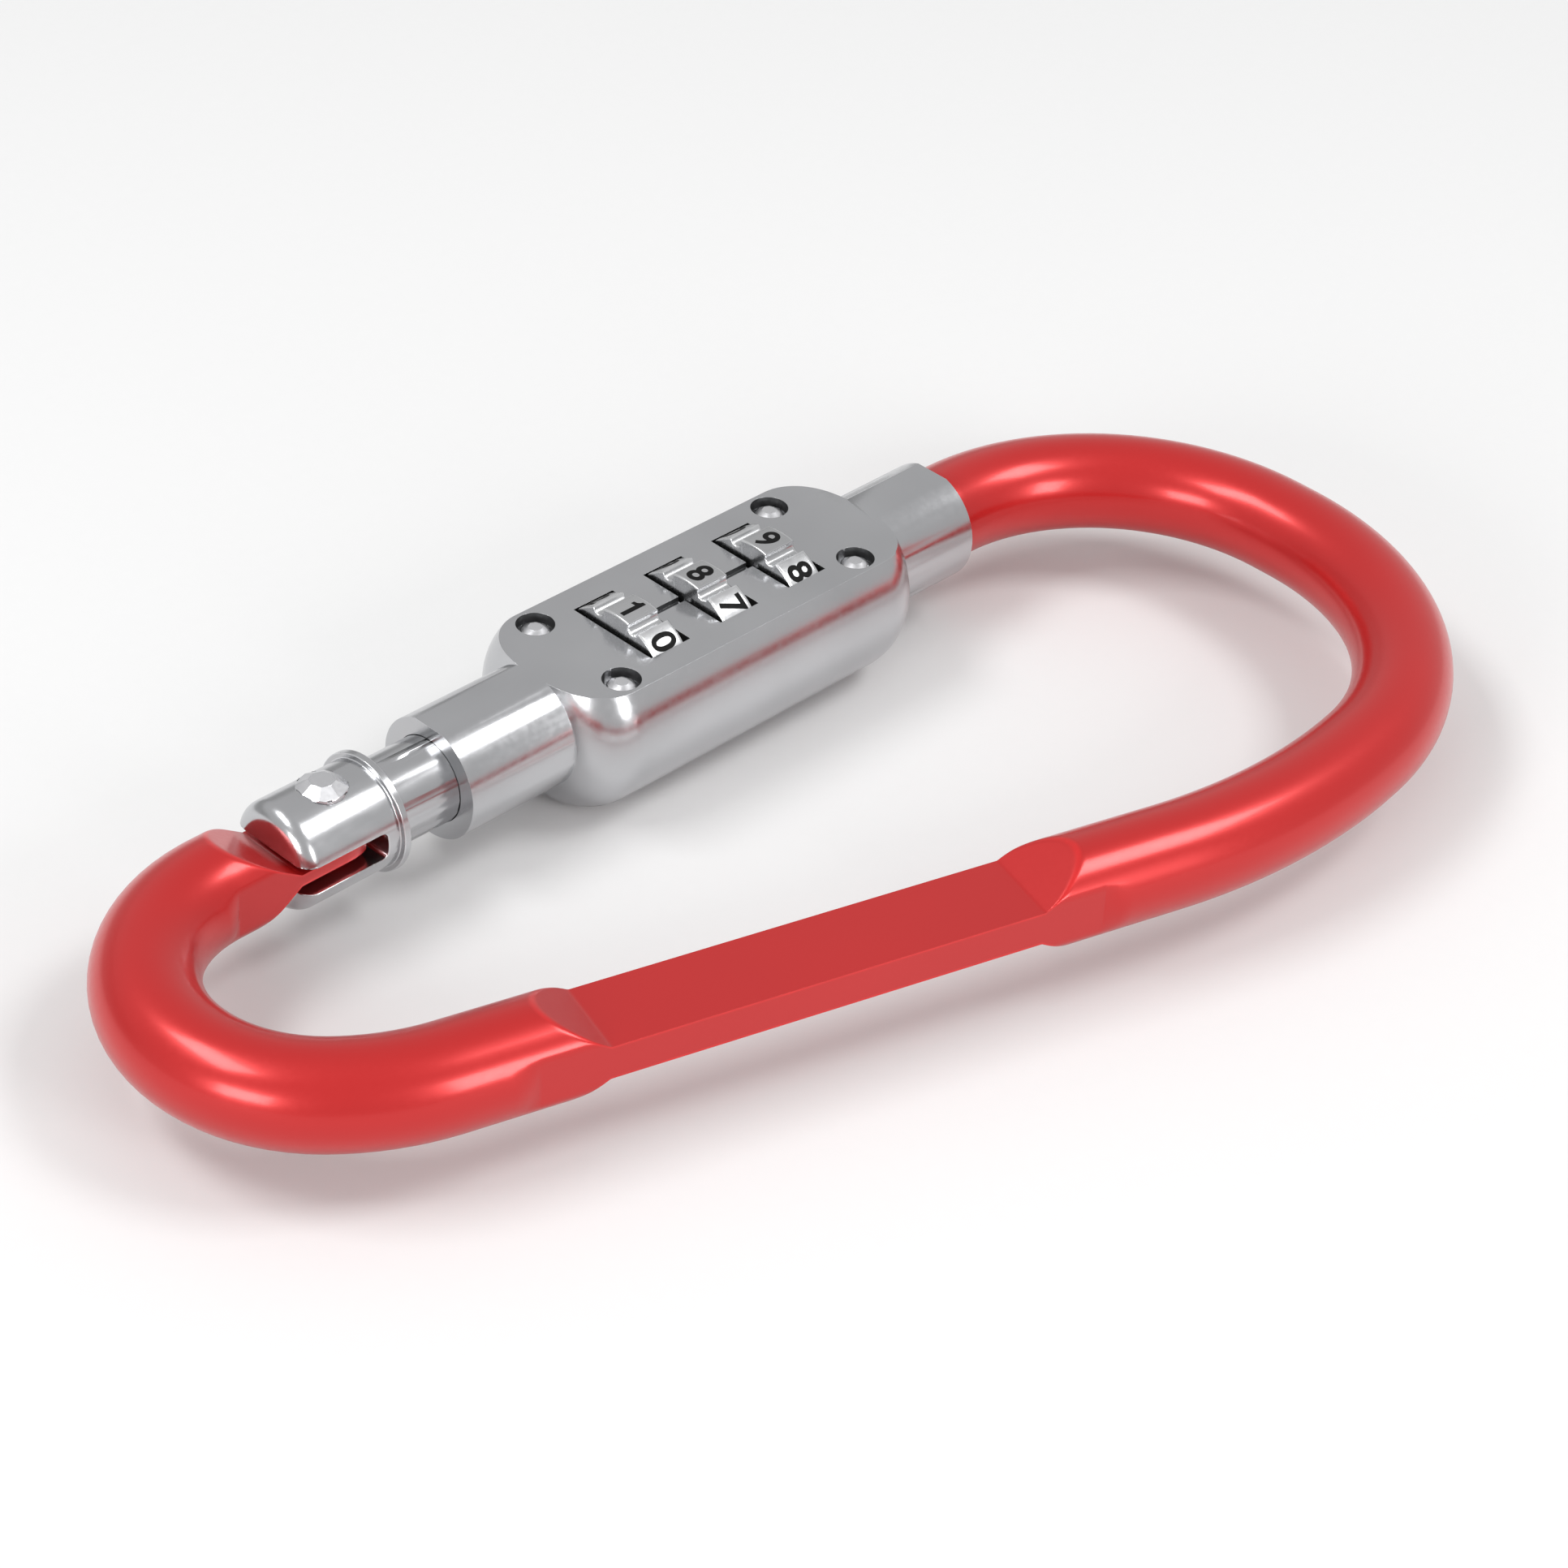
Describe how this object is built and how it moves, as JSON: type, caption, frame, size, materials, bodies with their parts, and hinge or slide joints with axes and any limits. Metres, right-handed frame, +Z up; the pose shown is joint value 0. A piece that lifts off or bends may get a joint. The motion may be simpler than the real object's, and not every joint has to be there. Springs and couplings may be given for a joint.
{
  "type": "combination lock carabiner",
  "caption": "Aluminium rod loop closed by a hinged gate whose sliding barrel housing is locked by coded dials, for hanging, linking and locking gear.",
  "frame": {"origin": "middle of the bounding box's base, which is the flat of the housing's belly", "axes": "+X along the gate from the hinge to the nose, +Y to the gate's outer side, +Z up through the dial windows"},
  "size_m": [0.118, 0.0574, 0.0143],
  "materials": {
    "frame_red": "glossy red anodised",
    "gate_metal": "satin chromed zinc",
    "housing_metal": "satin chromed zinc with a fine matt top face",
    "rivet_metal": "turned steel",
    "dial_metal": "satin chromed zinc with black digits",
    "sleeve_brass": "turned brass",
    "inner_steel": "turned steel",
    "spring_steel": "bright spring steel"
  },
  "bodies": {
    "frame": {"carabiner_frame": "frame_red"},
    "gate": {"gate_barrel": "gate_metal", "hinge_rivet": "rivet_metal", "hinge_spring": "spring_steel", "lock_spindle": "inner_steel", "spindle_pin": "inner_steel", "stop_ring": "spring_steel", "return_spring": "spring_steel"},
    "plunger": {"hinge_plunger": "inner_steel"},
    "lock_body": {"lock_housing": "housing_metal", "bottom_cover": "housing_metal", "cover_rivets": "rivet_metal", "end_bush": "sleeve_brass", "nose_socket": "inner_steel", "detent_spring_1": "spring_steel", "detent_spring_2": "spring_steel", "detent_spring_3": "spring_steel"},
    "dial_1": {"dial_wheel_1": "dial_metal", "code_sleeve_1": "sleeve_brass"},
    "dial_2": {"dial_wheel_2": "dial_metal", "code_sleeve_2": "sleeve_brass"},
    "dial_3": {"dial_wheel_3": "dial_metal", "code_sleeve_3": "sleeve_brass"}
  },
  "joints": [
    {"name": "gate_swing", "type": "hinge", "parent": "frame", "child": "gate", "pos_m": [-0.03204, 0.0205, 0.0079], "axis": [0, 0, -1], "range_deg": [0, 20], "stiffness_Nm_per_rad": 0.02, "springref_deg": -11.46, "deforming": ["hinge_spring"]},
    {"name": "plunger_slide", "type": "slide", "parent": "gate", "child": "plunger", "axis": [1, 0, 0], "range_m": [0, 0.00042]},
    {"name": "body_slide", "type": "slide", "parent": "gate", "child": "lock_body", "axis": [-1, 0, 0], "range_m": [0, 0.0055], "stiffness_N_per_m": 200, "springref_m": -0.002, "deforming": ["return_spring"]},
    {"name": "dial_1_spin", "type": "hinge", "parent": "lock_body", "child": "dial_1", "pos_m": [-0.00114, 0.0205, 0.0079], "axis": [1, 0, 0], "continuous": true, "deforming": ["detent_spring_1"]},
    {"name": "dial_2_spin", "type": "hinge", "parent": "lock_body", "child": "dial_2", "pos_m": [0.00632, 0.0205, 0.0079], "axis": [1, 0, 0], "continuous": true, "deforming": ["detent_spring_2"]},
    {"name": "dial_3_spin", "type": "hinge", "parent": "lock_body", "child": "dial_3", "pos_m": [0.01378, 0.0205, 0.0079], "axis": [1, 0, 0], "continuous": true, "deforming": ["detent_spring_3"]}
  ],
  "couplings": [
    {"joint": "plunger_slide", "follows": "gate_swing", "m_per_rad": 0.0012}
  ]
}
